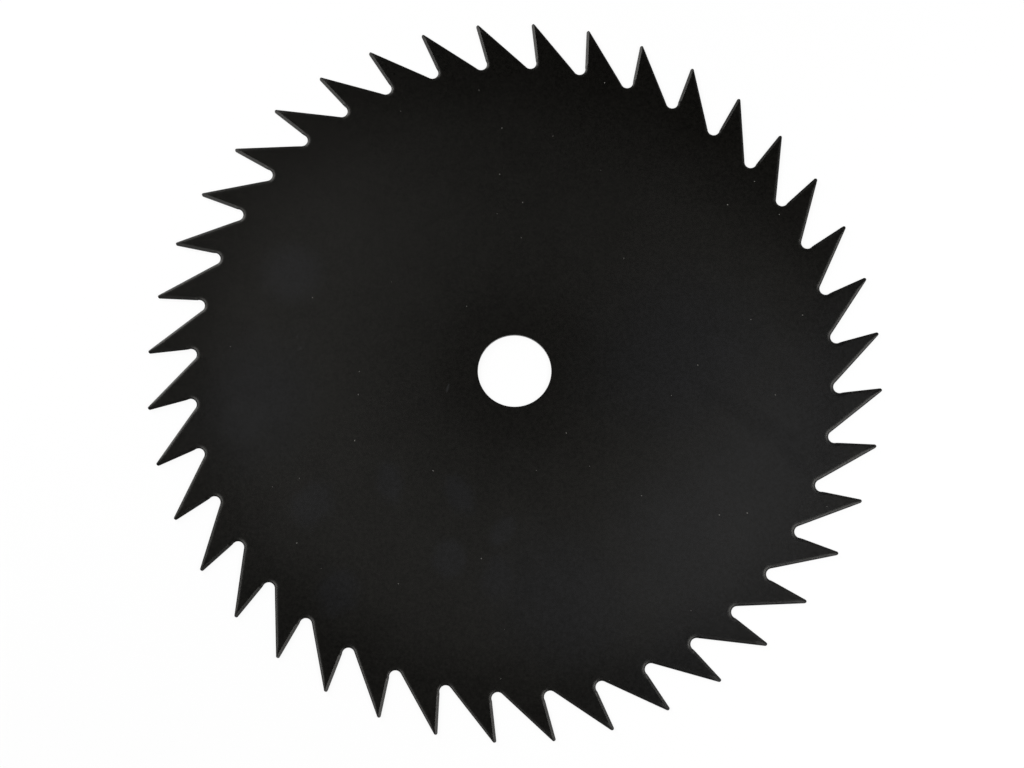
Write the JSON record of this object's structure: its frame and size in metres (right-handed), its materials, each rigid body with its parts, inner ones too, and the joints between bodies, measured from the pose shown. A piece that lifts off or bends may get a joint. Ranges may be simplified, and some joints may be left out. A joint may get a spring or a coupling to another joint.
{
  "type": "brush cutter blade",
  "caption": "Flat round steel brush cutter blade with hooked, bevel-ground saw teeth round its rim and a plain round bore.",
  "frame": {"origin": "centre of the bore on the blade's lower face", "axes": "+Z along the bore's axis, out of the face shown in the picture, from which the teeth point counter-clockwise; one tooth's point lies on +X"},
  "size_m": [0.254, 0.254, 0.0014],
  "materials": {
    "black_coating": "thin satin black coating over hardened steel, ground bevels coated too"
  },
  "bodies": {
    "root": {"blade": "black_coating"}
  },
  "joints": []
}
